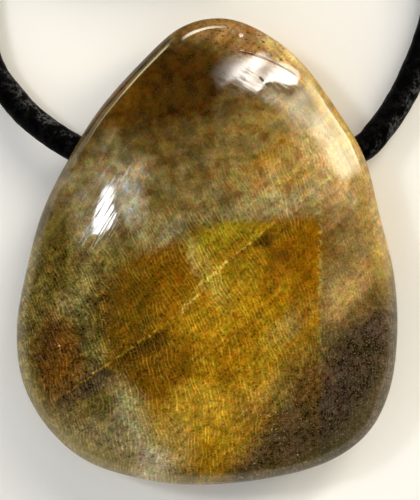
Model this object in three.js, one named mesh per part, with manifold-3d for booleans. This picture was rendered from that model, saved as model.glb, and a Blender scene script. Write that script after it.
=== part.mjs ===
// A drop-shaped pendant stone of polished petrified wood, threaded on a black leather cord.
// Units are millimetres and +Z is up. The stone lies on its flat back at z = 0 with its narrow
// end towards +Y, and the origin is under the middle of the stone.

import * as THREE from 'three';
import { mergeVertices } from 'three/addons/utils/BufferGeometryUtils.js';
import Module from 'manifold-3d';

const wasm = await Module();
wasm.setup();

// The stone
const stoneThickness = 9.6;
const girdleHeight = 4.6; // height of the widest outline above the back
const backRounding = 2.4; // how far the flat back lies inside the widest outline
const crownX = 0.3; // the highest point of the dome, seen from above
const crownY = -2.0;
const domeFullness = 2.2; // higher is flatter in the middle
const domeShoulder = 0.62; // lower is rounder at the edge
const bevelRoundness = 0.75; // 1 is a flat side band, lower is a rounder one
const ridgeSharpness = 6; // higher is a crisper edge between the dome and the side band

// Seen from above, anticlockwise from the narrow end. Each point has x, y and the width of the
// polished side band there, between the outline and the soft ridge where the dome begins.
const stoneOutline = [
  [1.2, 21.2, 0.9], [-2.5, 20.3, 0.75], [-6.1, 17.1, 0.6], [-9.8, 12.9, 0.4],
  [-12.6, 8.4, 0.3], [-15.0, 3.5, 0.3], [-16.5, -2.1, 0.3], [-17.3, -7.1, 0.4],
  [-16.7, -12.0, 0.45], [-14.3, -16.2, 0.5], [-10.6, -19.2, 0.5], [-5.2, -20.8, 0.5],
  [-0.2, -21.2, 0.5], [5.7, -20.6, 0.5], [11.0, -19.1, 0.5], [14.6, -16.5, 0.5],
  [16.6, -12.6, 0.45], [17.3, -7.5, 0.4], [17.0, -2.1, 0.4], [15.8, 2.9, 0.6],
  [14.3, 8.6, 1.2], [11.6, 13.2, 1.4], [8.5, 17.3, 1.9], [4.8, 20.1, 2.5],
];

// The leather cord, and the hole that it runs through from side to side
const cordDiameter = 2.5;
const holeDiameter = 3.2;
const cordSides = 8;
const cordStep = 3; // along the cord between rings of the tube
const gap = 0.3; // between pieces that touch

// The coil that the long ends of the cord are wound into, past the narrow end of the stone
const coilY = 46;
const coilOuterTurn = 16.25; // radius of the outer turns' centre line
const coilInnerTurn = coilOuterTurn - cordDiameter;
const coilBottom = 0.65; // the coil rests on its tie

// The tie, a binding of thin thread round the coil on the side away from the stone
const tieWidth = 1.6;
const tieThickness = 0.35;

// The knot that binds the two ends of the cord side by side inside the coil
const knotBottomY = coilY - 2.5;
const knotLength = 10;
const tailLength = 3;
const tailOffset = 1.3;

const middleOfHole = [0.9, 5.3, 3.8];
const halfGap = gap / 2;

// The centre line of each half of the cord, from the middle of the hole, out of the side of the
// stone, down to the surface and round to the side of the coil.
const leftRun = [
  [middleOfHole[0] - halfGap, 5.3, 3.8], [-6.0, 6.4, 3.5], [-12.0, 9.4, 3.0], [-14.1, 10.7, 2.6],
  [-16.2, 12.3, 2.1], [-18.1, 14.4, 1.6], [-19.8, 16.8, 1.32], [-20.7, 19.9, 1.3],
  [-21.1, 23.3, 1.3], [-21.4, 27.0, 1.3], [-21.1, 31.2, 1.3], [-20.1, 35.8, 1.35],
  [-18.5, 40.5, 1.45], [-17.05, 45.3, 1.55], [-15.7, 50.2, 1.6],
];
const rightRun = [
  [middleOfHole[0] + halfGap, 5.3, 3.8], [7.7, 6.3, 3.5], [13.7, 9.2, 3.0], [15.7, 11.0, 2.6],
  [17.8, 14.0, 2.0], [19.4, 17.3, 1.5], [20.4, 20.0, 1.32], [21.0, 22.5, 1.3],
  [21.4, 26.0, 1.3], [21.5, 30.0, 1.4], [21.0, 34.5, 1.8], [19.8, 39.5, 2.8],
  [18.0, 44.7, 3.8], [15.7, 50.2, 4.1],
];

// The end of each half, from the coil's inner turn to the knot. They cross once.
const leftEnd = [
  [9.7, 36.3, 1.6], [7.6, 34.9, 1.6], [5.1, 34.4, 1.65], [2.6, 34.9, 1.75],
  [0.5, 36.3, 1.95], [-0.9, 38.4, 2.5], [-1.4, 40.9, 3.3], [-1.4, 43.2, 3.75],
];
const rightEnd = [
  [-9.7, 36.3, 4.1], [-7.6, 34.9, 4.2], [-5.1, 34.4, 4.45], [-2.6, 34.9, 4.75],
  [-0.5, 36.3, 4.9], [0.9, 38.4, 4.75], [1.4, 40.9, 4.1], [1.4, 43.2, 3.75],
];
const knotHeight = 3.8; // the middle of the knot above the surface

const stoneMaterial = new THREE.MeshStandardMaterial({
  color: 0x8a6a32, roughness: 0.15, metalness: 0,
});
const leatherMaterial = new THREE.MeshStandardMaterial({
  color: 0x0b0b0b, roughness: 0.45, metalness: 0,
});
const threadMaterial = new THREE.MeshStandardMaterial({
  color: 0x4a3018, roughness: 0.8, metalness: 0,
});

// A closed geometry as a solid that can be joined and cut
function toSolid(geometry) {
  geometry.deleteAttribute('normal');
  geometry.deleteAttribute('uv');
  const merged = mergeVertices(geometry, 1e-3);
  return new wasm.Manifold(new wasm.Mesh({
    numProp: 3,
    vertProperties: new Float32Array(merged.attributes.position.array),
    triVerts: new Uint32Array(merged.index.array),
  }));
}

function toGeometry(solid) {
  const mesh = solid.getMesh();
  const geometry = new THREE.BufferGeometry();
  geometry.setAttribute('position', new THREE.BufferAttribute(mesh.vertProperties, 3));
  geometry.setIndex(new THREE.BufferAttribute(mesh.triVerts, 1));
  return geometry;
}

function curveThrough(points, closed = false) {
  return new THREE.CatmullRomCurve3(points.map((p) => new THREE.Vector3(...p)), closed, 'catmullrom', 0.5);
}

// A flat shape with straight sides, all its corners on one circle
function roundShape(radius, sides) {
  const corners = [];
  for (let i = 0; i < sides; i += 1) {
    const angle = (2 * Math.PI * i) / sides;
    corners.push(new THREE.Vector2(radius * Math.cos(angle), radius * Math.sin(angle)));
  }
  return new THREE.Shape(corners);
}

function tube(points, diameter, sides, step) {
  const path = curveThrough(points);
  return toSolid(new THREE.ExtrudeGeometry(roundShape(diameter / 2, sides), {
    steps: Math.round(path.getLength() / step),
    bevelEnabled: false,
    extrudePath: path,
  }));
}

// Height of the dome above the girdle where share is 0 at the crown and 1 at the outline
function domeHeight(share) {
  const rise = stoneThickness - girdleHeight;
  return rise * (1 - share ** domeFullness) ** domeShoulder;
}

// The stone's front is the lower of two surfaces, the dome and the side band, blended softly
// into each other along the ridge where they meet.
function frontHeight(share, reach, band) {
  const bandShare = band / reach;
  const dome = domeHeight(share);
  const side = domeHeight(1 - bandShare) * ((1 - share) / bandShare) ** bevelRoundness;
  const blend = (dome ** ridgeSharpness + side ** ridgeSharpness) ** (1 / ridgeSharpness);
  return girdleHeight + (dome * side) / blend;
}

// The stone as closed rings round the crown. The front rings lie closer together towards the
// outline, and the back rings follow a quarter of an ellipse down to the flat back.
function stoneSolid() {
  const around = 96;
  const frontRings = 16;
  const backRings = 5;
  const outline = curveThrough(stoneOutline, true);
  const positions = [crownX, crownY, stoneThickness];
  const columns = [];
  for (let i = 0; i < around; i += 1) {
    const point = outline.getPoint(i / around);
    const reach = Math.hypot(point.x - crownX, point.y - crownY);
    columns.push({ x: point.x - crownX, y: point.y - crownY, band: point.z, reach });
  }
  const addRing = (shareAndHeight) => {
    for (const column of columns) {
      const [share, height] = shareAndHeight(column);
      positions.push(crownX + share * column.x, crownY + share * column.y, height);
    }
  };
  for (let ring = 1; ring < frontRings; ring += 1) {
    const share = 1 - (1 - ring / frontRings) ** 1.7;
    addRing((column) => [share, frontHeight(share, column.reach, column.band)]);
  }
  for (let ring = 0; ring <= backRings; ring += 1) {
    const angle = (Math.PI / 2) * (ring / backRings);
    const inset = backRounding * (1 - Math.cos(angle));
    const height = ring === backRings ? 0 : girdleHeight * (1 - Math.sin(angle));
    addRing((column) => [1 - inset / column.reach, height]);
  }
  positions.push(crownX, crownY, 0);

  const rings = frontRings + backRings;
  const last = positions.length / 3 - 1;
  const at = (ring, column) => 1 + ring * around + (column % around);
  const faces = [];
  for (let i = 0; i < around; i += 1) {
    faces.push(0, at(0, i), at(0, i + 1));
    for (let ring = 0; ring < rings - 1; ring += 1) {
      faces.push(at(ring, i), at(ring + 1, i), at(ring + 1, i + 1));
      faces.push(at(ring, i), at(ring + 1, i + 1), at(ring, i + 1));
    }
    faces.push(at(rings - 1, i), last, at(rings - 1, i + 1));
  }
  const geometry = new THREE.BufferGeometry();
  geometry.setAttribute('position', new THREE.Float32BufferAttribute(positions, 3));
  geometry.setIndex(faces);
  return toSolid(geometry);
}

// The hole follows the cord from well outside one side of the stone to well outside the other
function holeSolid() {
  const insideAndOut = 5;
  const left = leftRun.slice(1, insideAndOut).reverse();
  const right = rightRun.slice(1, insideAndOut);
  return tube([...left, middleOfHole, ...right], holeDiameter, 16, 2);
}

// A ring round the middle of the coil, with its outer shape grown by the given margin
function coilSolid(margin) {
  const inner = coilInnerTurn - cordDiameter / 2 - margin;
  const outer = coilOuterTurn + cordDiameter / 2 + margin;
  const bottom = coilBottom - margin;
  const top = coilBottom + 2 * cordDiameter + margin;
  const corner = 0.9;
  const profile = [
    [inner + corner, bottom], [outer - corner, bottom], [outer, bottom + corner],
    [outer, top - corner], [outer - corner, top], [inner + corner, top],
    [inner, top - corner], [inner, bottom + corner], [inner + corner, bottom],
  ].map(([x, y]) => new THREE.Vector2(x, y));
  const ring = new THREE.LatheGeometry(profile, 48);
  ring.rotateX(Math.PI / 2);
  ring.translate(0, coilY, 0);
  return toSolid(ring);
}

// A rectangle with rounded corners about the origin
function roundedRectangle(width, height, corner, PathClass = THREE.Shape) {
  const x = width / 2 - corner;
  const y = height / 2 - corner;
  const path = new PathClass();
  path.moveTo(x, -y - corner);
  path.absarc(x, -y, corner, -Math.PI / 2, 0);
  path.absarc(x, y, corner, 0, Math.PI / 2);
  path.absarc(-x, y, corner, Math.PI / 2, Math.PI);
  path.absarc(-x, -y, corner, Math.PI, 1.5 * Math.PI);
  return path;
}

function tieGeometry() {
  const hole = 2 * (cordDiameter + gap);
  const outer = hole + 2 * tieThickness;
  const band = roundedRectangle(outer, outer, 1.0);
  band.holes.push(roundedRectangle(hole, hole, 0.7, THREE.Path));
  const geometry = new THREE.ExtrudeGeometry(band, { depth: tieWidth, bevelEnabled: false, curveSegments: 3 });
  geometry.rotateY(Math.PI / 2);
  const middle = (coilOuterTurn + coilInnerTurn) / 2;
  geometry.translate(-tieWidth / 2, coilY + middle, outer / 2);
  return geometry;
}

// The outer shape of the wraps round the two ends, with the short tails that come out beyond
function knotSolid() {
  const wraps = roundedRectangle(4 * cordDiameter, 3 * cordDiameter, 1.45 * cordDiameter);
  const barrel = new THREE.ExtrudeGeometry(wraps, { depth: knotLength, bevelEnabled: false, curveSegments: 5 });
  barrel.rotateX(-Math.PI / 2);
  barrel.translate(0, knotBottomY, knotHeight);
  const tailStart = knotBottomY + knotLength - 1;
  const tailEnd = knotBottomY + knotLength + tailLength;
  const tails = [-tailOffset, tailOffset].map((x) => tube(
    [[x, tailStart, knotHeight], [x, tailEnd, knotHeight]], cordDiameter, cordSides, tailEnd - tailStart));
  return toSolid(barrel).add(tails[0]).add(tails[1]);
}

const group = new THREE.Group();

function addPiece(name, geometry, material) {
  geometry.computeVertexNormals();
  const mesh = new THREE.Mesh(geometry, material);
  mesh.name = name;
  group.add(mesh);
}

const coilWithRoom = coilSolid(gap);
const cordTube = (points) => tube(points, cordDiameter, cordSides, cordStep).subtract(coilWithRoom);

addPiece('stone', toGeometry(stoneSolid().subtract(holeSolid())), stoneMaterial);
addPiece('cord_left', toGeometry(cordTube(leftRun)), leatherMaterial);
addPiece('cord_right', toGeometry(cordTube(rightRun)), leatherMaterial);
addPiece('cord_coil', toGeometry(coilSolid(0)), leatherMaterial);
addPiece('cord_left_end', toGeometry(cordTube(leftEnd)), leatherMaterial);
addPiece('cord_right_end', toGeometry(cordTube(rightEnd)), leatherMaterial);
addPiece('cord_knot', toGeometry(knotSolid()), leatherMaterial);
addPiece('coil_tie', tieGeometry(), threadMaterial);

export default group;
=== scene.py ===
import math

import bpy
import numpy as np
from mathutils import Matrix, Vector


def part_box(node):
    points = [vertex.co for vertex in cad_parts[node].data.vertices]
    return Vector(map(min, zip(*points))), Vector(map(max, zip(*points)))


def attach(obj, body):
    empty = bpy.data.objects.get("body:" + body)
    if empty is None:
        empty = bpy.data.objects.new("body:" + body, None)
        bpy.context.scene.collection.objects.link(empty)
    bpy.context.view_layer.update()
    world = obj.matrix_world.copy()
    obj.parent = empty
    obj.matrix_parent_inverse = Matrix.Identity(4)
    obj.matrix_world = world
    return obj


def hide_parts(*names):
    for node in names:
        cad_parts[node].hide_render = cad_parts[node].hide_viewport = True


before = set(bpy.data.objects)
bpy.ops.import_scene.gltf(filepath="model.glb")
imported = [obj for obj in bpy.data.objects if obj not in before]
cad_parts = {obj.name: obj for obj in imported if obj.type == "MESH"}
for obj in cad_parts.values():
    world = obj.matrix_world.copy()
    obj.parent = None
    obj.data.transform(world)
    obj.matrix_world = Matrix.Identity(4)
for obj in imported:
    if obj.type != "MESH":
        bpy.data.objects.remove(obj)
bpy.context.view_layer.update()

# A drop-shaped pendant stone of polished petrified wood on a black leather cord, seen from above.
# Lengths are in millimetres, and become metres where a mesh, lamp or camera is made.
MM = 0.001

# The stone, in the shape that its solid has
STONE_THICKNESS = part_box("stone")[1].z / MM
GIRDLE_HEIGHT = 4.6  # height of the widest outline above the back
BACK_ROUNDING = 2.4  # how far the flat back lies inside the widest outline
CROWN = (0.3, -2.0)  # the highest point of the dome, seen from above
DOME_FULLNESS = 2.2
DOME_SHOULDER = 0.62
BEVEL_ROUNDNESS = 0.75
RIDGE_SHARPNESS = 6

# x, y and width of the polished side band, anticlockwise from the narrow end
STONE_OUTLINE = [
    (1.2, 21.2, 0.9), (-2.5, 20.3, 0.75), (-6.1, 17.1, 0.6), (-9.8, 12.9, 0.4),
    (-12.6, 8.4, 0.3), (-15.0, 3.5, 0.3), (-16.5, -2.1, 0.3), (-17.3, -7.1, 0.4),
    (-16.7, -12.0, 0.45), (-14.3, -16.2, 0.5), (-10.6, -19.2, 0.5), (-5.2, -20.8, 0.5),
    (-0.2, -21.2, 0.5), (5.7, -20.6, 0.5), (11.0, -19.1, 0.5), (14.6, -16.5, 0.5),
    (16.6, -12.6, 0.45), (17.3, -7.5, 0.4), (17.0, -2.1, 0.4), (15.8, 2.9, 0.6),
    (14.3, 8.6, 1.2), (11.6, 13.2, 1.4), (8.5, 17.3, 1.9), (4.8, 20.1, 2.5),
]
# Small natural pits near the narrow end: x, y, radius and depth
PITS = [(2.5, 19.8, 0.22, 0.22), (3.2, 19.4, 0.25, 0.25), (5.0, 19.4, 0.2, 0.18)]

# The cord
CORD_DIAMETER = 2.5
CORD_SIDES = 32
CORD_STEP = 0.3  # between the rings of points along the cord
CORD_EDGE = 0.3  # radius of the rounding at its cut ends
SIDE_BY_SIDE = CORD_DIAMETER / 2 + 0.02  # from the middle of the knot to the middle of each end in it
HOLE_DIAMETER = 3.2
COIL_Y = 46
OUTER_TURN = 16.25
INNER_TURN = OUTER_TURN - CORD_DIAMETER
LOWER_LAYER = 1.6
UPPER_LAYER = LOWER_LAYER + CORD_DIAMETER
KNOT_START = COIL_Y - 2.5
KNOT_LENGTH = 10
KNOT_HEIGHT = 3.8
TAIL_LENGTH = 3
THREAD_DIAMETER = 0.35

MIDDLE_OF_HOLE = (0.9, 5.3, 3.8)
HALF_GAP = 0.15
LEFT_RUN = [
    (MIDDLE_OF_HOLE[0] - HALF_GAP, 5.3, 3.8), (-6.0, 6.4, 3.5), (-12.0, 9.4, 3.0), (-14.1, 10.7, 2.6),
    (-16.2, 12.3, 2.1), (-18.1, 14.4, 1.6), (-19.8, 16.8, 1.32), (-20.7, 19.9, 1.3),
    (-21.1, 23.3, 1.3), (-21.4, 27.0, 1.3), (-21.1, 31.2, 1.3), (-20.1, 35.8, 1.35),
    (-18.5, 40.5, 1.45), (-17.05, 45.3, 1.55),
]
RIGHT_RUN = [
    (MIDDLE_OF_HOLE[0] + HALF_GAP, 5.3, 3.8), (7.7, 6.3, 3.5), (13.7, 9.2, 3.0), (15.7, 11.0, 2.6),
    (17.8, 14.0, 2.0), (19.4, 17.3, 1.5), (20.4, 20.0, 1.32), (21.0, 22.5, 1.3),
    (21.4, 26.0, 1.3), (21.5, 30.0, 1.4), (21.0, 34.5, 1.8), (19.8, 39.5, 2.8),
    (18.0, 44.7, 3.8),
]
LEFT_END = [
    (7.6, 34.9, 1.6), (5.1, 34.4, 1.65), (2.6, 34.9, 1.75),
    (0.5, 36.3, 1.95), (-0.9, 38.4, 2.5), (-1.4, 40.9, 3.3), (-1.4, 43.2, 3.75),
]
RIGHT_END = [
    (-7.6, 34.9, 4.2), (-5.1, 34.4, 4.45), (-2.6, 34.9, 4.75),
    (-0.5, 36.3, 4.9), (0.9, 38.4, 4.75), (1.4, 40.9, 4.1), (1.4, 43.2, 3.75),
]


def place_camera():
    """Straight down on the stone. The picture's long side takes in VIEW_HEIGHT at the girdle."""
    view_height = 45.45
    distance = 240
    data = bpy.data.cameras.new("camera")
    data.sensor_width = 36
    data.lens = data.sensor_width * distance / view_height
    data.clip_start = 0.01
    camera = bpy.data.objects.new("camera", data)
    camera.location = Vector((0.27, 0.14, GIRDLE_HEIGHT + distance)) * MM
    bpy.context.scene.collection.objects.link(camera)
    bpy.context.scene.camera = camera


# Curves and meshes


def smooth_line(points, per_span, closed=False):
    """A curve through the points. Between p1 and p2, with t from 0 to 1 and p0 and p3 beyond them, it is half
    of 2 p1 + (p2 - p0) t + (2 p0 - 5 p1 + 4 p2 - p3) t^2 + (3 p1 - p0 - 3 p2 + p3) t^3."""
    p = np.array(points, float)
    if closed:
        p = np.vstack([p[-1:], p, p[:2]])
    else:
        p = np.vstack([2 * p[:1] - p[1:2], p, 2 * p[-1:] - p[-2:-1]])
    p0, p1, p2, p3 = p[:-3, None], p[1:-2, None], p[2:-1, None], p[3:, None]
    t = (np.arange(per_span) / per_span)[None, :, None]
    line = 0.5 * (2 * p1 + (p2 - p0) * t + (2 * p0 - 5 * p1 + 4 * p2 - p3) * t**2
                  + (3 * p1 - p0 - 3 * p2 + p3) * t**3)
    line = line.reshape(-1, p.shape[1])
    return line if closed else np.vstack([line, p[-2:-1]])


def even_line(line, step):
    """The same line with its points about step apart."""
    along = np.concatenate([[0], np.cumsum(np.linalg.norm(np.diff(line, axis=0), axis=1))])
    wanted = np.linspace(0, along[-1], round(along[-1] / step) + 1)
    return np.column_stack([np.interp(wanted, along, axis) for axis in line.T])


def new_piece(name, rings, start, end):
    """A closed surface: rings[i, j] is point j of ring i, and the poles start and end close the two ends.
    Rings run from start to end, and their points clockwise as seen looking from end to start."""
    count, around = rings.shape[:2]
    points = np.vstack([rings.reshape(-1, 3), start, end]) * MM
    column = np.arange(around)
    following = (column + 1) % around
    base = np.arange(count - 1)[:, None] * around
    quads = np.stack([base + column, base + around + column, base + around + following, base + following], -1)
    first, last = count * around, count * around + 1
    start_fan = np.stack([np.full(around, first), column, following], -1)
    last_ring = (count - 1) * around
    end_fan = np.stack([last_ring + column, np.full(around, last), last_ring + following], -1)
    mesh = bpy.data.meshes.new(name)
    faces = quads.reshape(-1, 4).tolist() + start_fan.tolist() + end_fan.tolist()
    mesh.from_pydata(points.tolist(), [], faces)
    mesh.shade_smooth()
    piece = bpy.data.objects.new(name, mesh)
    bpy.context.scene.collection.objects.link(piece)
    return piece


def unit(vectors):
    return vectors / np.linalg.norm(vectors, axis=-1, keepdims=True)


def tube(name, line, diameter, around, upright, edge, relief=None):
    """A round cord along the line. With t the line's direction, s = upright x t and o = s x t, point a of a
    ring is line + r (s cos a + o sin a). The ends are cut flat, with an edge rounded by the radius edge."""
    along = np.concatenate([[0], np.cumsum(np.linalg.norm(np.diff(line, axis=0), axis=1))])
    direction = unit(np.gradient(line, axis=0))
    turn = np.linspace(math.pi / 2, 0, 5)[:-1]
    first = line[0] - direction[0] * edge * np.sin(turn)[:, None]
    last = line[-1] + direction[-1] * edge * np.sin(turn[::-1])[:, None]
    centres = np.vstack([first, line, last])
    direction = np.vstack([np.repeat(direction[:1], 4, 0), direction, np.repeat(direction[-1:], 4, 0)])
    along = np.concatenate([-edge * np.sin(turn), along, along[-1] + edge * np.sin(turn[::-1])])
    inset = edge * (1 - np.cos(turn))
    radius = diameter / 2 - np.concatenate([inset, np.zeros(len(line)), inset[::-1]])
    side = unit(np.cross(upright, direction))
    over = np.cross(side, direction)
    angle = np.linspace(0, 2 * math.pi, around, endpoint=False)
    swell = np.ones((len(centres), around)) if relief is None else 1 + relief(angle[None, :], along[:, None])
    reach = radius[:, None] * swell
    rings = centres[:, None] + reach[..., None] * (
        side[:, None] * np.cos(angle)[None, :, None] + over[:, None] * np.sin(angle)[None, :, None])
    piece = new_piece(name, rings, centres[:1], centres[-1:])
    unrolled = np.stack(np.broadcast_arrays(
        radius[:, None] * np.cos(angle), radius[:, None] * np.sin(angle), along[:, None]), -1).reshape(-1, 3)
    unrolled = np.vstack([unrolled, [(0, 0, along[0]), (0, 0, along[-1])]])
    grain = piece.data.attributes.new("straight_cord", "FLOAT_VECTOR", "POINT")
    grain.data.foreach_set("vector", unrolled.astype(np.float32).ravel())
    return piece, centres * MM


def dome_height(share):
    """Height of the dome over the girdle: rise (1 - share^fullness)^shoulder."""
    return (STONE_THICKNESS - GIRDLE_HEIGHT) * (1 - share**DOME_FULLNESS) ** DOME_SHOULDER


def hand_polish(x, y):
    """The faint waves that hand polishing leaves: three crossing sine waves."""
    waves = 0.018 * np.sin(0.9 * x + 0.5 * y + 1.3) + 0.014 * np.sin(1.2 * y - 0.6 * x)
    return waves + 0.008 * np.sin(1.9 * x - 1.4 * y)


def make_stone():
    """Rings round the crown: share 0 is the crown and 1 the outline. In front the height is
    dome x side / (dome^k + side^k)^(1/k) over the girdle, where side is the dome's height at the inner rim
    of the side band times ((1 - share) / band)^roundness, and k is the sharpness of the ridge between them.
    Behind, the rings follow a quarter of an ellipse down to the flat back."""
    front_rings, back_rings = 110, 20
    crowding = 1.7  # higher brings the front rings closer together towards the outline
    outline = smooth_line(STONE_OUTLINE, 18, closed=True)
    offset = outline[:, :2] - CROWN
    reach = np.hypot(offset[:, 0], offset[:, 1])
    band = outline[:, 2] / reach

    share = (1 - (1 - np.arange(1, front_rings) / front_rings) ** crowding)[:, None]
    dome = dome_height(share)
    side = dome_height(1 - band) * ((1 - share) / band) ** BEVEL_ROUNDNESS
    blend = (dome**RIDGE_SHARPNESS + side**RIDGE_SHARPNESS) ** (1 / RIDGE_SHARPNESS)
    front_height = GIRDLE_HEIGHT + dome * side / blend

    angle = np.linspace(0, math.pi / 2, back_rings + 1)[:, None]
    back_share = 1 - BACK_ROUNDING * (1 - np.cos(angle)) / reach
    back_height = np.broadcast_to(GIRDLE_HEIGHT * (1 - np.sin(angle)), back_share.shape)

    shares = np.vstack([np.broadcast_to(share, front_height.shape), back_share])
    ground = np.array(CROWN) + shares[..., None] * offset
    x, y = ground[..., 0], ground[..., 1]
    height = np.vstack([front_height, back_height])
    polish = hand_polish(x, y)
    for pit_x, pit_y, radius, depth in PITS:
        polish -= depth * np.exp(-((x - pit_x) ** 2 + (y - pit_y) ** 2) / radius**2)
    inside = np.clip((height - GIRDLE_HEIGHT) / (0.2 * STONE_THICKNESS), 0, 1)
    inside[front_rings - 1:] = 0
    height = np.minimum(height + inside * polish, STONE_THICKNESS)
    rings = np.dstack([ground, height])
    stone = new_piece("polished_stone", rings, [(*CROWN, STONE_THICKNESS)], [(*CROWN, 0)])

    inside_and_out = 5
    route = LEFT_RUN[1:inside_and_out][::-1] + [MIDDLE_OF_HOLE] + RIGHT_RUN[1:inside_and_out]
    drill, _ = tube("drill", even_line(smooth_line(route, 20), 0.5), HOLE_DIAMETER, 48, (0, 0, 1), 0.1)
    cut = stone.modifiers.new("hole", "BOOLEAN")
    cut.operation = "DIFFERENCE"
    cut.solver = "EXACT"
    cut.object = drill
    drilled = bpy.data.meshes.new_from_object(stone.evaluated_get(bpy.context.evaluated_depsgraph_get()))
    stone.modifiers.clear()
    stone.data = drilled
    bpy.data.objects.remove(drill)
    drilled.set_sharp_from_angle(angle=math.radians(40))
    return stone


def coil_turns(start_angle, sense, height):
    """The cord's turns in one layer: 285 degrees on the outer circle, a smooth step of 50 degrees to the
    inner one and the rest of 570 degrees on that. sense is 1 anticlockwise and -1 clockwise."""
    swept = np.linspace(0, 570, 191)
    step = np.clip((swept - 285) / 50, 0, 1)
    radius = OUTER_TURN - (OUTER_TURN - INNER_TURN) * step**2 * (3 - 2 * step)
    angle = np.radians(start_angle + sense * swept)
    x, y = radius * np.cos(angle), COIL_Y + radius * np.sin(angle)
    return np.column_stack([x, y, np.full(len(angle), height)])


def leather_relief(angle, along):
    """Wrinkles of cut leather, as a share of the radius: crossing waves of the angle and the length."""
    return (0.012 * np.sin(3 * angle + 0.35 * along) + 0.010 * np.sin(5 * angle - 1.9 * along + 1)
            + 0.012 * np.sin(2 * angle + 4.3 * along) * np.sin(0.7 * along))


def leather_half(name, run, turns, end, tail_x):
    """One half of the cord: from the middle of the hole round to the coil, its turns, and on to the knot."""
    tail = [(tail_x, KNOT_START + 1.5 + 2.5 * step, KNOT_HEIGHT) for step in range(4)]
    tail.append((tail_x, KNOT_START + KNOT_LENGTH + TAIL_LENGTH - 0.3, KNOT_HEIGHT))
    sparse = np.vstack([run, turns[::6], end, tail])
    line = even_line(smooth_line(sparse, 12), CORD_STEP)
    return tube(name, line, CORD_DIAMETER, CORD_SIDES, (0, 0, 1), CORD_EDGE, leather_relief)


def make_knot():
    """Three turns of the same leather, side by side round the two ends. A point of the line is at
    x = clip(k cos a, w) + r cos a and z = r sin a, and y grows by one diameter each turn."""
    angle = np.radians(np.linspace(-100, -100 + 3 * 360, 400))
    x = np.clip(3 * SIDE_BY_SIDE * np.cos(angle), -SIDE_BY_SIDE, SIDE_BY_SIDE)
    x = x + CORD_DIAMETER * np.cos(angle)
    z = KNOT_HEIGHT + CORD_DIAMETER * np.sin(angle)
    y = KNOT_START + CORD_DIAMETER / 2 + CORD_DIAMETER * (angle - angle[0]) / (2 * math.pi)
    line = even_line(np.column_stack([x, y, z]), CORD_STEP)
    thickness = CORD_DIAMETER * 0.98
    return tube("knot_wraps", line, thickness, CORD_SIDES, (0, 1, 0), CORD_EDGE, leather_relief)[0]


def make_tie():
    """Four turns of thread round the coil: a circle's direction, clipped to a square and grown by the
    radius of a rounded corner, so that it follows four round cords."""
    turns = 4
    angle = np.radians(np.linspace(-90, -90 + 360 * turns, 80 * turns))
    core = CORD_DIAMETER / 2
    corner = core + THREAD_DIAMETER / 2
    y = np.clip(3 * core * np.cos(angle), -core, core) + corner * np.cos(angle)
    z = np.clip(3 * core * np.sin(angle), -core, core) + corner * np.sin(angle)
    x = THREAD_DIAMETER * 1.03 * ((angle - angle[0]) / (2 * math.pi) - turns / 2)
    middle = (0, COIL_Y + (OUTER_TURN + INNER_TURN) / 2, (LOWER_LAYER + UPPER_LAYER) / 2)
    line = even_line(np.column_stack([x, y, z]) + middle, 0.12)
    return tube("tie_thread", line, THREAD_DIAMETER, 12, (1, 0, 0), 0.1)[0]


# Shader nodes


class Value:
    """A socket of a material. Arithmetic on number sockets adds Math nodes."""

    def __init__(self, paint, socket):
        self.paint = paint
        self.socket = socket

    def __add__(self, other):
        return self.paint.math("ADD", self, other)

    def __sub__(self, other):
        return self.paint.math("SUBTRACT", self, other)

    def __mul__(self, other):
        return self.paint.math("MULTIPLY", self, other)

    def __rsub__(self, other):
        return self.paint.math("SUBTRACT", other, self)

    __radd__ = __add__
    __rmul__ = __mul__


MIX_FACTOR, MIX_A, MIX_B, MIX_RESULT = 0, 4, 5, 1  # the sockets of a Mix node for three numbers


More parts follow.
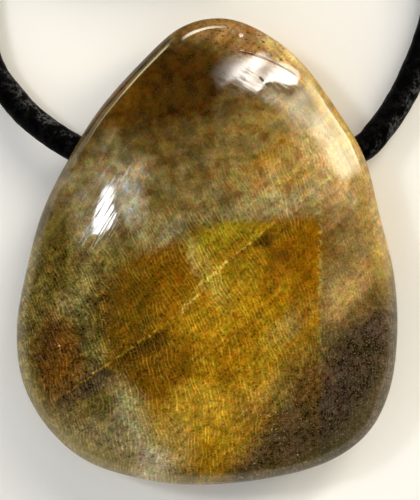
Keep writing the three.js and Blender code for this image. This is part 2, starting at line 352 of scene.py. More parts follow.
class Paint:
    """Builds the nodes of one material, or of the world."""

    def __init__(self, owner):
        owner.use_nodes = True
        self.owner = owner
        self.tree = owner.node_tree
        self.tree.nodes.clear()

    def node(self, kind, settings, inputs, output=0):
        """Adds a node: first its settings, then the values or links of its sockets. Returns one output."""
        made = self.tree.nodes.new(kind)
        for name, value in settings.items():
            setattr(made, name, value)
        for name, value in inputs.items():
            if isinstance(value, Value):
                self.tree.links.new(value.socket, made.inputs[name])
            else:
                made.inputs[name].default_value = value
        return None if output is None else Value(self, made.outputs[output])

    def math(self, operation, a, b=0.0):
        return self.node("ShaderNodeMath", {"operation": operation}, {0: a, 1: b})

    def vector(self, operation, a, b=(0, 0, 0), c=(0, 0, 0)):
        return self.node("ShaderNodeVectorMath", {"operation": operation}, {0: a, 1: b, 2: c})

    def scaled(self, vector, factor):
        return self.node("ShaderNodeVectorMath", {"operation": "SCALE"}, {0: vector, "Scale": factor})

    def mix(self, factor, a, b):
        inputs = {MIX_FACTOR: factor, MIX_A: a, MIX_B: b}
        return self.node("ShaderNodeMix", {"data_type": "VECTOR"}, inputs, MIX_RESULT)

    def fade(self, value, start, end):
        """0 where value is at start or before it, 1 at end or beyond it, and smooth between them."""
        inputs = {"Value": value, "From Min": start, "From Max": end}
        return self.node("ShaderNodeMapRange", {"interpolation_type": "SMOOTHSTEP"}, inputs)

    def noise(self, place, size, detail=2.0, output=0):
        inputs = {"Vector": place, "Scale": 1 / size, "Detail": detail}
        return self.node("ShaderNodeTexNoise", {}, inputs, output)

    def noises(self, place, size, detail=2.0):
        """Three kinds of noise at once, as the three parts of a vector."""
        return self.noise(place, size, detail, output=1)

    def stirred(self, place, size, amount, detail=2.0):
        """The place pushed to and fro by noise of that size, by up to about half the amount."""
        centred = self.vector("SUBTRACT", self.noises(place, size, detail), (0.5, 0.5, 0.5))
        return self.vector("MULTIPLY_ADD", centred, (amount,) * 3, place)

    def turned(self, place, middle, angle, size):
        """The place seen from a middle, turned by an angle in degrees about Z and divided by size."""
        rotation = (0, 0, math.radians(angle))
        inputs = {"Vector": place, "Location": (*middle, 0), "Rotation": rotation, "Scale": size}
        return self.node("ShaderNodeMapping", {"vector_type": "TEXTURE"}, inputs)

    def along(self, place, point, angle, unit=1.0):
        """How far the place lies from the point in the direction of the angle, in the given unit."""
        step = (math.cos(math.radians(angle)) / unit, math.sin(math.radians(angle)) / unit, 0)
        reach = self.node("ShaderNodeVectorMath", {"operation": "DOT_PRODUCT"}, {0: place, 1: step}, "Value")
        return reach - (point[0] * step[0] + point[1] * step[1])

    def patch(self, place, middle, half_widths, angle, softness):
        """1 inside an ellipse and 0 outside it, softened by a share of its size."""
        lengthways = self.along(place, middle, angle, half_widths[0])
        across = self.along(place, middle, angle + 90, half_widths[1])
        away = self.math("SQRT", lengthways * lengthways + across * across)
        return self.fade(away, 1 + softness, 1 - softness)

    def beyond(self, place, point, angle, softness):
        """1 on the left of a line through the point in the direction of the angle, and 0 on its right."""
        return self.fade(self.along(place, point, angle + 90), -softness, softness)

    def bump(self, height, depth):
        """The normal, bent as if a height of 1 stood out by the depth, in metres."""
        inputs = {"Strength": 1.0, "Distance": depth, "Height": height}
        return self.node("ShaderNodeBump", {}, inputs, "Normal")

    def surface(self, constants, inputs):
        """The finish: constants are numbers set on the shader, inputs vary over the surface."""
        return self.shown(self.node("ShaderNodeBsdfPrincipled", {}, {**constants, **inputs}, "BSDF"))

    def shown(self, shader, output="ShaderNodeOutputMaterial"):
        self.node(output, {}, {"Surface": shader}, None)
        return self.owner


THROUGH = 1000.0  # a size far above the stone's, so that a pattern runs straight through it

# The mineral colours of the wood, as linear red, green and blue; a few patches also use them for painted
# highlights and a painted glow
WOOD = {
    "umber": (0.042, 0.018, 0.0012),
    "russet": (0.085, 0.034, 0.0015),
    "bark": (0.082, 0.046, 0.008),
    "drab": (0.118, 0.076, 0.018),
    "mud": (0.190, 0.126, 0.032),
    "taupe": (0.215, 0.162, 0.060),
    "tan": (0.310, 0.192, 0.040),
    "fawn": (0.158, 0.100, 0.030),
    "sand": (0.340, 0.220, 0.066),
    "blond": (0.410, 0.275, 0.095),
    "olive": (0.155, 0.116, 0.022),
    "moss": (0.085, 0.056, 0.006),
    "slate": (0.092, 0.076, 0.016),
    "rust": (0.105, 0.036, 0.001),
    "dusk": (0.092, 0.045, 0.001),
    "chestnut": (0.130, 0.055, 0.001),
    "amber": (0.165, 0.068, 0.001),
    "ochre": (0.265, 0.132, 0.003),
    "honey": (0.340, 0.185, 0.008),
    "straw": (0.450, 0.270, 0.028),
    "khaki": (0.205, 0.142, 0.008),
    "cream": (0.300, 0.240, 0.060),
    "ash": (0.310, 0.243, 0.105),
    "bone": (0.450, 0.360, 0.200),
    "mist": (0.330, 0.310, 0.215),
    "flax": (0.560, 0.430, 0.110),
    "rose": (0.240, 0.128, 0.036),
    "charcoal": (0.062, 0.038, 0.027),
    "soot": (0.036, 0.023, 0.013),
    "pitch": (0.024, 0.015, 0.007),
}

# Patches of colour laid over each other on the face of the stone, each an ellipse:
# colour, middle, half widths, angle, softness of its edge, strength
BROWN_PATCHES = [
    ("bark", (-5.4, 10.6), (5.6, 3.2), 25, 0.5, 0.95),
    ("umber", (-2.6, 14.9), (5.2, 3.9), 12, 0.4, 1.0),
    ("russet", (-7.2, 13.8), (3.4, 1.3), 52, 0.5, 0.9),
    ("bark", (5.6, 14.2), (3.2, 0.9), -10, 0.6, 0.8),
    ("drab", (-1.6, 9.4), (2.8, 2.0), 0, 0.6, 0.8),
    ("mud", (4.0, 10.2), (3.4, 2.2), 10, 0.5, 0.9),
    ("taupe", (-10.6, 5.6), (2.6, 4.6), -20, 0.5, 0.9),
    ("mud", (2.6, 7.2), (2.6, 1.4), 20, 0.6, 0.9),
    # The next four patches pale the stone beside the window lamp's highlight on the left, and paint its soft
    # whitish fringe and spots in as painted highlights.
    ("ash", (-6.7, 5.2), (1.1, 3.0), 14, 0.8, 1.0),
    ("mist", (-6.6, 4.7), (1.1, 2.5), 16, 0.8, 0.9),
    ("mist", (-6.0, 7.2), (1.4, 0.6), -10, 0.8, 0.5),
    ("ash", (-5.6, 8.4), (1.3, 0.5), -20, 0.7, 0.4),
    ("olive", (-2.8, 5.2), (3.2, 2.0), 0, 0.6, 0.95),
    ("taupe", (-4.2, 1.6), (2.3, 2.1), -20, 0.5, 0.9),
    ("tan", (7.8, 8.2), (3.4, 4.4), 20, 0.5, 0.8),
    ("taupe", (5.4, 3.8), (4.4, 1.5), 12, 0.5, 0.9),
    ("sand", (6.4, 7.2), (3.4, 0.8), 47, 0.6, 0.6),
    ("ochre", (5.6, 9.0), (2.8, 0.5), 45, 0.7, 0.45),
    ("sand", (11.4, 5.8), (1.6, 3.0), 20, 0.6, 0.8),
    ("fawn", (12.0, 0.2), (2.2, 4.6), 8, 0.5, 0.9),
    ("fawn", (11.2, -5.0), (1.0, 3.6), 0, 0.5, 0.8),
    ("sand", (13.6, -2.2), (4.8, 1.3), 52, 0.5, 0.9),
    ("tan", (14.6, 3.4), (1.5, 3.4), 12, 0.5, 0.8),
    ("moss", (-13.8, -0.6), (1.8, 3.8), -8, 0.5, 1.0),
    ("olive", (-9.6, -0.6), (3.4, 2.6), 20, 0.5, 0.9),
    ("taupe", (-12.2, -4.4), (2.8, 1.0), 38, 0.7, 0.8),
    ("ash", (-5.2, 0.9), (1.4, 0.5), -58, 0.7, 0.6),
    ("slate", (-10.4, -6.8), (2.6, 3.4), 25, 0.6, 0.9),
    ("olive", (-15.6, -6.0), (1.8, 8.0), -4, 0.5, 0.8),
    ("rust", (-13.4, -9.2), (2.2, 3.6), 8, 0.5, 0.95),
    ("rose", (4.4, 18.6), (4.4, 1.6), -28, 0.5, 0.85),
    ("rose", (0.6, 20.0), (3.4, 0.8), 0, 0.5, 0.6),
    # The next three colour the polished side band at the upper right: tan stone, lightened with a painted
    # warm glow along the edge.
    ("blond", (8.0, 16.9), (4.2, 1.0), -47, 0.4, 0.9),
    ("tan", (11.6, 12.0), (4.4, 1.2), -60, 0.4, 0.9),
    ("tan", (14.4, 6.0), (3.2, 0.9), -72, 0.5, 0.7),
    ("fawn", (14.0, 0.8), (1.9, 3.6), 8, 0.6, 0.6),
    ("taupe", (-1.0, 4.2), (2.0, 1.4), 30, 0.6, 0.7),
    # The next two are painted highlights beside the window lamp's highlight: a pale patch to its upper right
    # and a thin pale streak above it.
    ("ash", (-5.4, 6.6), (1.6, 0.7), -20, 0.8, 0.5),
    ("ash", (-9.4, 8.6), (1.6, 0.2), 62, 0.8, 0.6),
    ("moss", (-13.4, -0.6), (2.2, 3.2), -10, 0.6, 0.8),
    ("taupe", (-10.4, 3.2), (1.6, 3.6), -15, 0.6, 0.5),
    ("blond", (10.8, 7.4), (1.8, 3.0), 30, 0.6, 0.5),
    ("slate", (-7.4, 9.4), (1.4, 1.2), 0, 0.8, 0.5),
    # Painted highlight: a soft whitish spot above and right of the window lamp's highlight.
    ("ash", (-6.9, 7.4), (1.3, 0.9), 20, 0.8, 0.7),
    # Painted highlight: a pale streak where the glow lamp's soft highlight begins, near the ridge.
    ("bone", (7.0, 13.2), (2.6, 0.6), -25, 0.9, 0.5),
    ("ash", (7.0, 4.2), (4.0, 1.4), 12, 0.7, 0.35),
    ("drab", (5.0, 10.4), (2.0, 1.2), 20, 0.8, 0.5),
    ("sand", (4.0, 5.7), (1.8, 1.2), 20, 0.8, 0.35),
    ("drab", (-2.6, 5.8), (2.8, 2.0), 20, 0.8, 0.6),
    ("tan", (15.4, 1.6), (0.9, 4.2), 6, 0.7, 0.7),
    ("cream", (-11.0, -4.4), (2.4, 0.8), 38, 0.8, 0.3),
    ("bark", (-10.6, 10.2), (2.8, 1.0), 52, 0.7, 0.85),
    ("umber", (-14.8, -8.4), (2.2, 3.0), 0, 0.7, 0.35),
]

GOLD_PATCHES = [
    ("amber", (7.6, 0.2), (3.2, 2.8), 0, 0.5, 0.8),
    ("chestnut", (7.4, 0.8), (3.0, 2.2), 20, 0.7, 0.8),
    ("khaki", (1.2, 1.2), (4.0, 1.5), 12, 0.4, 0.95),
    ("khaki", (2.8, -2.0), (1.8, 1.8), 0, 0.6, 0.6),
    ("chestnut", (-4.6, -1.9), (3.6, 2.5), 15, 0.35, 0.95),
    ("dusk", (-7.2, -5.2), (3.2, 3.6), 20, 0.5, 0.95),
    ("amber", (-2.9, -5.0), (1.8, 1.5), 40, 0.6, 0.7),
    ("chestnut", (-5.0, -10.6), (4.0, 2.8), 18, 0.3, 0.95),
    ("honey", (0.6, -6.0), (3.2, 2.2), 40, 0.6, 0.6),
    ("cream", (0.1, -1.9), (0.8, 2.8), 28, 0.8, 0.6),
    ("ash", (-1.3, -0.4), (0.3, 1.4), 14, 0.9, 0.5),
    ("chestnut", (-1.8, -8.4), (1.8, 1.2), 30, 0.7, 0.5),
    ("taupe", (7.4, -6.6), (3.4, 1.0), 45, 0.6, 0.8),
    ("amber", (8.7, -3.6), (1.5, 3.2), 0, 0.6, 0.85),
    ("straw", (-0.8, -14.2), (2.8, 2.2), 0, 0.5, 0.7),
    ("honey", (2.6, -17.2), (2.0, 1.6), 0, 0.7, 0.8),
    ("sand", (4.6, -12.4), (1.2, 3.2), -30, 0.9, 0.4),
    ("honey", (5.0, -10.0), (1.6, 3.4), -30, 0.6, 0.7),
    ("dusk", (-7.0, -11.0), (1.9, 1.7), 20, 0.7, 0.7),
    ("mist", (7.2, -11.4), (0.9, 2.6), -35, 0.9, 0.1),
    ("sand", (-3.0, -17.6), (1.8, 2.6), 0, 0.6, 0.8),
]

LOWER_PATCHES = [
    ("drab", (-8.6, -15.4), (1.8, 3.8), 25, 0.5, 0.6),
    ("ash", (-6.6, -14.8), (1.5, 3.0), 30, 0.8, 0.9),
    ("bone", (-4.8, -19.2), (1.9, 1.4), 10, 0.5, 0.95),
    ("ash", (-7.0, -18.0), (1.6, 1.4), 0, 0.8, 0.45),
    ("mist", (-6.6, -15.2), (0.9, 3.0), 28, 0.9, 0.25),
    ("taupe", (-10.4, -16.2), (3.4, 2.0), -38, 0.5, 0.9),
    ("moss", (-10.0, -13.9), (2.2, 1.2), 40, 0.7, 0.8),
    ("soot", (-10.8, -12.2), (2.4, 0.9), 32, 0.5, 0.8),
    ("umber", (-5.6, -8.5), (2.8, 0.75), 34, 0.6, 0.9),
    ("umber", (5.0, 0.9), (0.9, 0.5), 35, 0.7, 0.9),
    ("umber", (3.4, 0.0), (2.0, 0.18), 43, 0.9, 0.55),
    ("russet", (-13.6, -12.8), (2.0, 3.6), -28, 0.7, 0.45),
]

CORNER_PATCHES = [
    ("fawn", (10.8, -8.0), (1.3, 1.8), -20, 0.7, 0.7),
    ("pitch", (13.4, -10.0), (2.8, 3.4), 20, 0.6, 0.8),
    ("pitch", (11.4, -17.0), (2.6, 1.6), 25, 0.6, 0.95),
    ("pitch", (11.4, -14.4), (4.4, 1.6), 25, 0.6, 0.5),
    ("charcoal", (7.6, -17.2), (1.6, 1.2), 20, 0.7, 0.9),
    ("bark", (8.4, -9.8), (1.4, 2.8), -35, 0.7, 0.6),
    ("russet", (9.6, -12.0), (1.0, 2.4), -30, 0.8, 0.4),
    ("taupe", (6.8, -13.0), (0.7, 1.4), -30, 0.8, 0.3),
]

# Thin broken lines: a growth ring in short stretches, pale over dark, and an upright one to the right
RING_LINES = [
    ("umber", (-4.2, -7.5), (3.4, 0.14), 36, 0.9, 0.7),
    ("straw", (-9.6, -10.6), (3.2, 0.1), 35, 0.9, 0.8),
    ("straw", (-4.6, -7.1), (2.8, 0.1), 36, 0.9, 0.7),
    ("flax", (-2.0, -5.0), (0.8, 0.14), 62, 0.9, 1.0),
    ("flax", (-0.9, -3.9), (0.9, 0.11), 40, 0.9, 0.9),
    ("bone", (-9.4, -6.2), (0.09, 0.09), 0, 0.6, 1.0),
    ("bone", (-13.4, -8.4), (0.22, 0.08), -20, 0.6, 1.0),
    ("flax", (1.4, -1.3), (2.8, 0.14), 41, 0.9, 0.9),
    ("straw", (4.9, 1.7), (1.4, 0.09), 38, 0.9, 0.5),
    ("cream", (10.1, -2.0), (0.18, 6.5), 0, 0.9, 0.65),
]
# A fine natural crack along the upper right ridge
CRACK_CENTRE = (0.0, 3.9)
CRACK_RADIUS = 14.5
# The chip is not cut into the mesh: its dark is painted shade, and a rougher polish dims the highlight on it.
CHIP = ((4.9, 15.5), (0.28, 0.13), -50)  # middle, half widths and angle of a small chip beside it


def wood_grain(paint, place, angle):
    """Rays and pores of the wood, along the given angle. Rays are light lines one cell apart, which waver and
    fade by noise that is long along them, and the pores are dark rounded cells between them."""
    local = paint.turned(place, (0, 0), angle, (0.30, 0.40, 1.4))
    below = paint.math("MAXIMUM", paint.along(place, (0, -3), -90), 0.0)
    sway = paint.noise(place, 3.0, 1.0) * 4.0 + paint.noise(place, 0.9, 1.0) * 0.8 + below * below * 0.045
    local = paint.vector("ADD", local, paint.node("ShaderNodeCombineXYZ", {}, {"X": sway}))
    across = paint.node("ShaderNodeSeparateXYZ", {}, {"Vector": local}, "X")
    lines = paint.fade(paint.math("COSINE", across * (2 * math.pi)), 0.1, 1.0)
    drawn_out = paint.vector("MULTIPLY", local, (1.0, 0.34, 0.4))
    rays = lines * paint.fade(paint.noise(drawn_out, 1.0, 1.0), 0.34, 0.62)
    pore_place = paint.vector("MULTIPLY", local, (0.75, 0.85, 1.0))
    nearest = paint.node("ShaderNodeTexVoronoi", {}, {"Vector": pore_place, "Scale": 1.0}, "Distance")
    return rays, paint.fade(nearest, 0.42, 0.12)


def lay(paint, base, place, patches, share=1.0):
    """The patches painted over the base, one after another, each with the given share of its strength."""
    for name, middle, half_widths, angle, softness, strength in patches:
        mask = paint.patch(place, middle, half_widths, angle, softness)
        base = paint.mix(mask * strength * share, base, WOOD[name])
    return base


def gold_zone(paint, place):
    """The golden middle of the face: left of a straight edge, under a slanting one, inside an ellipse."""
    zone = paint.beyond(place, (10.1, 0), 90, 0.2) * (1 - paint.beyond(place, (-7.0, -1.3), 24, 0.8))
    zone = zone * (1 - paint.beyond(place, (0, 2.6), 0, 0.7))
    return zone * paint.patch(place, (4.2, -8.0), (12.4, 13.5), 0, 0.12)


def dark_zone(paint, place):
    """The dark lower right corner, under two slanting edges."""
    side = 1 - paint.beyond(place, (5.8, -13.9), 58, 1.5)
    return side * (1 - paint.beyond(place, (12.6, -6.8), 37, 1.6))


def mineral_and_highlight_colours(paint, place, edged, mottle):
    """The patches of colour with the ring lines over them, and the masks of the golden and the dark zone."""
    base = paint.mix(paint.fade(mottle, 0.32, 0.68), WOOD["bark"], WOOD["drab"])
    base = lay(paint, base, edged, BROWN_PATCHES)

    golden = gold_zone(paint, edged)
    gold = paint.mix(paint.fade(paint.noise(edged, 1.9, 4.0), 0.36, 0.66), WOOD["amber"], WOOD["honey"])
    base = paint.mix(golden, base, paint.mix(0.5, gold, WOOD["ochre"]))
    base = lay(paint, base, edged, GOLD_PATCHES + LOWER_PATCHES)
    corner = paint.mix(paint.fade(mottle, 0.32, 0.68), WOOD["soot"], WOOD["charcoal"])
    dark = dark_zone(paint, edged)
    base = paint.mix(dark * 0.95, base, corner)
    base = lay(paint, base, edged, CORNER_PATCHES)
    broken = paint.fade(paint.noise(place, 0.4, 1.0), 0.4, 0.6)
    base = lay(paint, base, paint.stirred(place, 1.6, 0.5), RING_LINES, broken)
    return base, golden, dark


def ridge_crack(paint, place):
    """1 in the fine crack, which follows a circle below the upper right ridge, and 0 outside it."""
    flat_place = paint.vector("MULTIPLY", paint.stirred(place, 0.8, 0.12), (1, 1, 0))
    ends = {0: flat_place, 1: (*CRACK_CENTRE, 0)}
    away = paint.node("ShaderNodeVectorMath", {"operation": "DISTANCE"}, ends, "Value")
    crack = paint.fade(paint.math("ABSOLUTE", away - CRACK_RADIUS), 0.11, 0.04)
    return crack * paint.patch(place, (5.9, 17.1), (2.9, 1.2), -28, 0.3)


def polish_wear(paint, place, crack):
    """The relief of the rubbed streaks near the ridge, of the hairline scratches on the left and of the
    crack, and how much rougher the streaks and scratches make the polish."""
    streaks = paint.noise(paint.turned(place, (0, 0), -33, (1.6, 0.16, THROUGH)), 1.0, 2.0)
    near_ridge = paint.patch(place, (4.0, 16.2), (6.0, 2.6), -15, 0.5)
    scratches = paint.noise(paint.turned(place, (0, 0), 58, (3.0, 0.12, THROUGH)), 1.0, 1.0)
    rubbed = paint.patch(place, (-9.0, 4.0), (3.6, 2.6), 58, 0.5)
    relief = streaks * near_ridge * 0.6 + scratches * rubbed - crack * 8.0
    dull = paint.fade(streaks, 0.48, 0.62) * near_ridge * 0.12
    return relief, dull + paint.fade(scratches, 0.53, 0.62) * rubbed * 0.4


def petrified_wood():
    """The mineral colours, then mottles, growth bands, rays, pores and specks over them, painted highlights
    and a painted paler rim.
    """
    paint = Paint(bpy.data.materials.new("petrified_wood"))
    metres = paint.node("ShaderNodeTexCoord", {}, {}, "Object")
    place = paint.scaled(metres, 1 / MM)
    flowing = paint.stirred(place, 5.0, 1.6)
    edged = paint.stirred(flowing, 0.9, 0.7, 3.0)

    mottle = paint.noise(edged, 1.3, 4.0)
    base, golden, dark = mineral_and_highlight_colours(paint, place, edged, mottle)

    lower = paint.beyond(place, (0, -1), 180, 10)
    upper_left = paint.patch(place, (-5, 11), (9, 8), 0, 0.5)
    grained = paint.beyond(place, (0, 6.0), 202, 5.0)
    left = paint.patch(place, (-13.5, -6.5), (6.0, 9.0), -8, 0.3)
    uneven = 0.4 + left * 0.5 + upper_left * 0.35
    base = paint.scaled(base, 1 + (paint.fade(mottle, 0.3, 0.7) - 0.5) * uneven)
    hues = paint.noises(flowing, 1.7, 2.0)
    hues = paint.vector("MULTIPLY_ADD", hues, (0.25, 0.2, 0.8), (0.875, 0.9, 0.60))
    base = paint.vector("MULTIPLY", base, hues)
    growth = paint.noise(paint.turned(flowing, (0, 0), 44, (7.0, 0.5, THROUGH)), 1.0, 3.0) - 0.5
    base = paint.scaled(base, 1 + growth * (1 - upper_left) * 1.3)
    band = paint.patch(place, (10.6, 13.2), (8.5, 1.5), -57, 0.3)
    fibres = paint.noise(paint.turned(flowing, (0, 0), -57, (4.0, 0.3, THROUGH)), 1.0, 3.0) - 0.5
    base = paint.scaled(base, 1 + fibres * band * 1.2)
    flecks = paint.noise(edged, 1.1, 4.0)
    # Painted highlight: pale streaks along the upper right ridge, over stone darkened a little there, paint
    # streaks into the glow lamp's soft highlight.
    painted_glow_zone = paint.patch(place, (10.0, 9.8), (8.0, 1.8), -57, 0.6)
    pale = paint.vector("MULTIPLY_ADD", base, (1.1, 1.1, 1.1), (0.10, 0.090, 0.065))
    painted_glow_streaks = paint.fade(fibres + flecks * 1.6, 0.55, 1.05)
    base = paint.mix(painted_glow_zone * painted_glow_streaks * 0.8, paint.scaled(base, 1 - painted_glow_zone * 0.2), pale)
    tints = paint.noises(place, 0.5, 1.0)
    tints = paint.vector("MULTIPLY_ADD", tints, (0.75, 0.6, 0.75), (0.625, 0.70, 0.625))
    base = paint.vector("MULTIPLY", base, tints)
    flecked = (1 - lower) * (1 - band)
    red_flecks = paint.vector("MULTIPLY", base, (0.74, 0.53, 0.40))
    base = paint.mix(paint.fade(flecks, 0.5, 0.66) * flecked * 0.8, base, red_flecks)
    grey_flecks = paint.vector("MULTIPLY", base, (1.14, 1.22, 1.90))
    base = paint.mix(paint.fade(flecks, 0.48, 0.34) * flecked * 0.7, base, grey_flecks)

    middle_rays, middle_pores = wood_grain(paint, place, 27)
    right_rays, right_pores = wood_grain(paint, place, 16)
    right = paint.beyond(flowing, (6.0, 0), -75, 2.0)
    rays = middle_rays * (1 - right) + right_rays * right
    pores = middle_pores * (1 - right) + right_pores * right
    patchy = paint.fade(paint.noise(flowing, 2.0, 2.0), 0.3, 0.65)
    grained = grained * (1 - paint.patch(place, (13.2, -0.4), (5.0, 8.8), 0, 0.3) * 0.7)
    grained = grained * (1 - dark * 0.6)
    ray_patch = paint.patch(place, (0.1, -1.9), (1.5, 3.4), 28, 0.7)
    strength = (0.1 + grained * (0.7 + lower * 0.15)) * (0.4 + patchy * 0.6) + ray_patch * 0.35
    ray_colour = paint.vector("MULTIPLY_ADD", base, (1.7, 1.75, 1.8), (0.040, 0.043, 0.020))
    base = paint.mix(rays * strength, base, ray_colour)
    base = paint.mix(pores * (0.12 + grained * 0.65 + ray_patch * 0.2), base, paint.scaled(base, 0.42))
    speckle = paint.noise(place, 0.16, 2.0) - 0.5
    speckle = speckle * (1.0 + lower * 0.9 + left * 0.8 + dark * 0.5)
    grit = (paint.noise(place, 0.45, 1.0) - 0.5) * (0.5 + lower * 0.6 + left * 0.8 + dark * 1.0)
    fine = paint.vector("ADD", base, (0.0, 0.004, 0.010))
    base = paint.vector("ADD", base, paint.scaled(fine, speckle + grit))
    red_pits = paint.fade(paint.noise(place, 0.35, 1.0), 0.6, 0.7)
    red_pits = red_pits * paint.patch(place, (3.4, 18.9), (5.0, 2.0), -20, 0.4)
    base = paint.mix(red_pits * 0.8, base, WOOD["umber"])
    dust = paint.fade(paint.noise(place, 0.14, 1.0), 0.56, 0.8) * lower
    base = paint.mix(dust * (0.35 + dark * 0.15), base, paint.mix(golden, WOOD["ash"], WOOD["straw"]))
    base = paint.vector("MULTIPLY", base, paint.mix(golden, (1.0, 1.0, 1.0), (1.0, 0.98, 0.65)))
    specks = paint.fade(paint.noise(place, 0.26, 1.0), 0.7, 0.76)
    specks = specks * paint.patch(place, (2.5, -16.5), (9, 4.5), 0, 0.4)
    base = paint.mix(specks * 0.8, base, WOOD["bone"])
    # Painted light: the face is paled towards its outline in the lower half, most near the bottom and little
    # in the dark corner, for light reflected at the steep edge.
    rim = 1 - paint.patch(place, (-0.3, -6.6), (16.5, 13.9), 0, 0.06)
    rim = rim * (0.5 + paint.beyond(place, (0, -9), 180, 4) * 0.5) * paint.beyond(place, (0, 1), 180, 3)
    rim = rim * (1 - dark * 0.75)
    rim_light_colour = paint.vector("MULTIPLY_ADD", base, (0.8, 0.8, 0.8), (0.15, 0.125, 0.050))
    base = paint.vector("MAXIMUM", paint.mix(rim * 0.8, base, rim_light_colour), (0.0, 0.0, 0.0))

    crack = ridge_crack(paint, place)
    base = paint.mix(crack, base, (0.03, 0.008, 0.002))

    relief, dull = polish_wear(paint, place, crack)
    # Painted shade: a dark umber spot where the small chip lies, with a rougher polish below.
    chip = paint.patch(place, *CHIP, 0.4)
    base = paint.mix(chip * 0.9, base, WOOD["umber"])
    bump = paint.bump(relief, 0.002 * MM)
    roughness = 0.05 + pores * 0.05 + dull + chip * 0.6
    return paint.surface({"IOR": 1.54}, {"Base Color": base, "Roughness": roughness, "Normal": bump})


def black_leather():
    """Deep black, scuffed grey, with a painted grey sheen in a band along one upper side and a little
    scuffing along the other.
    """
    paint = Paint(bpy.data.materials.new("black_leather"))
    place = paint.node("ShaderNodeAttribute", {"attribute_name": "straight_cord"}, {}, "Vector")
    spread = {"Vector": place, "Scale": 2.6}
    cells = paint.node("ShaderNodeTexVoronoi", {"feature": "DISTANCE_TO_EDGE"}, spread, "Distance")
    grain = paint.fade(cells, 0.0, 0.16)
    reach = CORD_DIAMETER / 2
    # Painted highlight: a grey sheen over the worn grain in a band along the cord's upper side.
    band = paint.beyond(place, (-0.72 * reach, -0.5 * reach), 125, 0.3 * reach)
    edge = 1 - paint.beyond(place, (0.9 * reach, 0), 90, 0.1 * reach)
    worn = paint.fade(paint.noise(place, 1.1, 2.0), 0.44, 0.58)
    worn = worn * paint.fade(paint.noise(place, 0.26, 3.0), 0.38, 0.66)
    scuffs_and_sheen = worn * (0.05 + band * 0.95 + edge * 0.4)
    base = paint.mix(scuffs_and_sheen, (0.0005, 0.0005, 0.0005), (0.085, 0.085, 0.090))
    height = grain * 0.6 + paint.noise(place, 0.18, 3.0) * 0.5
    bump = paint.bump(height, 0.03 * MM)
    roughness = 0.42 + worn * 0.2
    return paint.surface({"IOR": 1.07}, {"Base Color": base, "Roughness": roughness, "Normal": bump})


def waxed_thread():
    paint = Paint(bpy.data.materials.new("waxed_thread"))
    place = paint.node("ShaderNodeAttribute", {"attribute_name": "straight_cord"}, {}, "Vector")
    strands = paint.node("ShaderNodeTexWave", {}, {"Vector": place, "Scale": 1.4, "Distortion": 0.6}, "Fac")
    fibre = paint.noise(place, 0.12, 3.0)
    base = paint.mix(strands * 0.6 + fibre * 0.4, (0.018, 0.010, 0.005), (0.075, 0.042, 0.018))
    bump = paint.bump(strands, 0.04 * MM)
    return paint.surface({"IOR": 1.45}, {"Base Color": base, "Roughness": 0.4 + fibre * 0.3, "Normal": bump})


def pale_floor():
    paint = Paint(bpy.data.materials.new("pale_floor"))
    metres = paint.node("ShaderNodeTexCoord", {}, {}, "Object")
    cloud = paint.noise(paint.scaled(metres, 1 / MM), 60.0, 2.0)
    base = paint.mix(cloud, (0.86, 0.845, 0.81), (0.88, 0.87, 0.84))
    return paint.surface({"Roughness": 0.6}, {"Base Color": base})


# Floor and light


def make_floor():
    half = 3.0
    mesh = bpy.data.meshes.new("floor")
    corners = [(-half, -half, 0), (half, -half, 0), (half, half, 0), (-half, half, 0)]
    mesh.from_pydata(corners, [], [(0, 1, 2, 3)])
    floor = bpy.data.objects.new("floor", mesh)
    bpy.context.scene.collection.objects.link(floor)
    mesh.materials.append(pale_floor())


LAMP_DISTANCE = 1.2  # metres from the stone

# Each lamp is a sheet through rows of points, seen from the stone: azimuth and angle off the vertical in
# degrees, and brightness
SKY = [
    [(88, 35.5, 0), (79.5, 36.6, 0.15), (71, 38.5, 0.4), (66, 39.8, 0.7), (62.8, 40.3, 0.9), (61.3, 42.4, 1),
     (60, 47, 1), (50.3, 55.6, 1), (43.7, 68, 1)],
    [(88, 37.5, 0), (79.5, 38.6, 0.08), (73, 41, 0.25), (68, 42, 0.65), (64, 43, 0.9), (61.5, 47.7, 1),
     (60, 51, 1), (52, 60, 1), (45, 70, 1)],
    [(86, 41, 0), (78, 43, 0.03), (72, 44.5, 0.1), (67, 46, 0.4), (62, 49, 0.6), (60.5, 52.5, 0.6),
     (60, 57, 0.55), (53, 64, 0.8), (45, 72, 0.9)],
    [(85, 46, 0), (78, 46, 0), (72, 48, 0), (67, 51, 0.03), (62, 55, 0.08), (59, 58, 0.1), (58, 63, 0.12),
     (53, 72, 0.3), (46, 82, 0.3)],
]
WINDOW = [
    [(149.0, 40.3, 1), (149.7, 43.2, 1), (151.1, 45, 1), (153.4, 46, 1),
     (156, 45.2, 1), (160.3, 41.9, 1), (163.5, 39, 1)],
    [(148.9, 37, 1), (148.9, 36, 1), (149.2, 35.2, 1), (150, 34.6, 1),
     (151.8, 34.5, 1), (157.6, 35.3, 1), (163.5, 37.5, 1)],
]
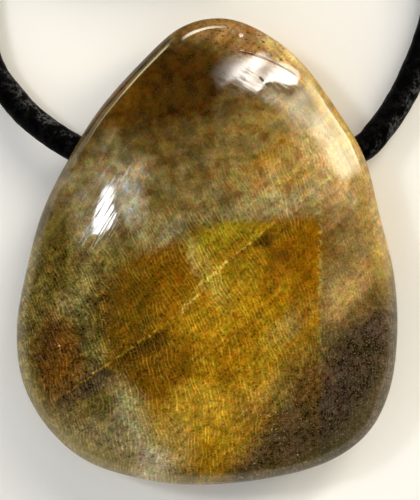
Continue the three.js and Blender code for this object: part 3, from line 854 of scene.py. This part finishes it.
GLOW = [
    [(58, 40, 0), (50, 38, 0), (41, 38, 0), (36, 39.5, 0), (28, 42, 0), (15, 50, 0)],
    [(50, 49, 0.15), (42, 51, 0.3), (36, 51, 0.2), (33, 51.5, 0.12), (27, 53, 0.15), (17, 58, 0)],
    [(44, 56, 0.15), (41, 57, 0.4), (36, 58, 0.6), (31, 58.5, 0.8), (24, 60, 0.75), (17, 64, 0.1)],
    [(42, 62, 0.1), (40, 64, 0.35), (36, 65, 0.75), (31, 65.5, 1), (23, 66.5, 1), (17, 69, 0.3)],
    [(42, 72, 0.1), (39, 74, 0.3), (36, 75, 0.6), (30, 75, 0.8), (22, 76, 0.75), (17, 77, 0.1)],
    [(42, 84, 0.15), (39, 85, 0.4), (36, 86, 0.8), (30, 86, 1), (22, 86, 0.8), (16, 86, 0)],
    [(42, 89.5, 0.2), (39, 89.5, 0.5), (36, 89.5, 0.9), (30, 89.5, 1), (22, 89.5, 0.8), (16, 89.5, 0)],
]
TOP_EDGE = [
    [(117, 73, 0), (110, 73, 1), (100, 72, 1), (92, 73, 0.7), (86, 75, 0.4), (80, 77, 0)],
    [(117, 79, 0), (110, 79, 1), (100, 78, 1), (92, 78, 0.7), (86, 79, 0.4), (80, 81, 0)],
]
LEFT_EDGE = [
    [(126, 84, 0), (130, 84.5, 1), (134, 85, 1), (138, 86, 0.6), (145, 86, 0.4), (150, 86, 0)],
    [(126, 89.5, 0), (130, 89.5, 1), (134, 89.5, 1), (138, 89.5, 0.6), (145, 89.5, 0.4), (150, 89.5, 0)],
]


def soft_lamp(name, rows, tint, radiance):
    """A glowing sheet through the rows of points, which shades smoothly from one to the next."""
    across = [smooth_line(row, 5) for row in rows]
    sheet = np.stack([smooth_line(column, 5) for column in np.stack(across, 1)], 1)
    around, down = np.radians(sheet[..., 0]), np.radians(sheet[..., 1])
    towards = np.stack([np.sin(down) * np.cos(around), np.sin(down) * np.sin(around), np.cos(down)], -1)
    count, wide = sheet.shape[:2]
    corner = (np.arange(count - 1)[:, None] * wide + np.arange(wide - 1)).ravel()
    quads = np.stack([corner, corner + 1, corner + wide + 1, corner + wide], -1)
    mesh = bpy.data.meshes.new(name)
    mesh.from_pydata((LAMP_DISTANCE * towards).reshape(-1, 3).tolist(), [], quads.tolist())
    brightness = mesh.attributes.new("brightness", "FLOAT", "POINT")
    brightness.data.foreach_set("value", np.clip(sheet[..., 2], 0, 1).astype(np.float32).ravel())
    paint = Paint(bpy.data.materials.new(name))
    shade = paint.node("ShaderNodeAttribute", {"attribute_name": "brightness"}, {}, "Fac")
    glow = {"Color": paint.scaled(tint, shade), "Strength": radiance}
    mesh.materials.append(paint.shown(paint.node("ShaderNodeEmission", {}, glow, "Emission")))
    light = bpy.data.objects.new(name, mesh)
    light.visible_camera = False
    bpy.context.scene.collection.objects.link(light)


def area_lamp(name, place, width, depth, radiance):
    """A broad soft lamp that faces the stone and isn't reflected, so that the stone keeps its colour."""
    data = bpy.data.lights.new(name, "AREA")
    data.shape = "ELLIPSE"
    data.size, data.size_y = width, depth
    data.energy = math.pi * radiance * math.pi * width * depth / 4
    light = bpy.data.objects.new(name, data)
    light.location = place
    light.rotation_euler = Vector(place).to_track_quat("Z", "Y").to_euler()
    light.visible_glossy = False
    light.visible_camera = False
    bpy.context.scene.collection.objects.link(light)


def pale_room():
    """The world: dim overhead, and paler towards the horizon in front of the stone's wide end."""
    paint = Paint(bpy.data.worlds.new("pale_room"))
    direction = paint.node("ShaderNodeTexCoord", {}, {}, "Generated")
    height = paint.node("ShaderNodeSeparateXYZ", {}, {"Vector": direction}, "Z")
    front = paint.node("ShaderNodeSeparateXYZ", {}, {"Vector": direction}, "Y")
    horizon = paint.mix(paint.fade(front, 0.4, -0.4), (0.20, 0.18, 0.13), (1.10, 1.06, 0.80))
    sky = paint.mix(paint.fade(height, 0.2, 0.0), (0.015, 0.015, 0.015), horizon)
    air = paint.node("ShaderNodeBackground", {}, {"Color": sky, "Strength": 1.0}, "Background")
    bpy.context.scene.world = paint.shown(air, "ShaderNodeOutputWorld")


def light_scene():
    soft_lamp("sky", SKY, (1.0, 0.94, 0.86), 27)
    soft_lamp("window", WINDOW, (0.95, 0.97, 1.0), 34)
    soft_lamp("glow", GLOW, (1.0, 0.89, 0.60), 14)
    soft_lamp("top_edge", TOP_EDGE, (1.0, 0.95, 0.80), 14)
    soft_lamp("left_edge", LEFT_EDGE, (1.0, 0.97, 0.50), 8)
    area_lamp("overhead", (-0.2, -0.3, 1.2), 2.4, 2.4, 0.70)
    area_lamp("fill", (-0.4, -1.0, 0.5), 2.2, 0.9, 1.05)
    pale_room()
    bpy.context.scene.view_settings.view_transform = "Standard"


# The object

place_camera()

left_turns = coil_turns(165, -1, LOWER_LAYER)
right_turns = coil_turns(15, 1, UPPER_LAYER)
leather_left, left_path = leather_half("leather_left", LEFT_RUN, left_turns, LEFT_END, -SIDE_BY_SIDE)
leather_right, right_path = leather_half("leather_right", RIGHT_RUN, right_turns, RIGHT_END, SIDE_BY_SIDE)
knot_wraps = make_knot()
tie_thread = make_tie()
polished_stone = make_stone()

leather = black_leather()
for piece in (leather_left, leather_right, knot_wraps):
    piece.data.materials.append(leather)
tie_thread.data.materials.append(waxed_thread())
polished_stone.data.materials.append(petrified_wood())

for piece in (leather_left, leather_right, knot_wraps, tie_thread, polished_stone):
    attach(piece, "root")
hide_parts("stone")
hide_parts("cord_left", "cord_left_end", "cord_coil")
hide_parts("cord_right", "cord_right_end", "cord_coil")
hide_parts("cord_knot")
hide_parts("coil_tie")


make_floor()
light_scene()
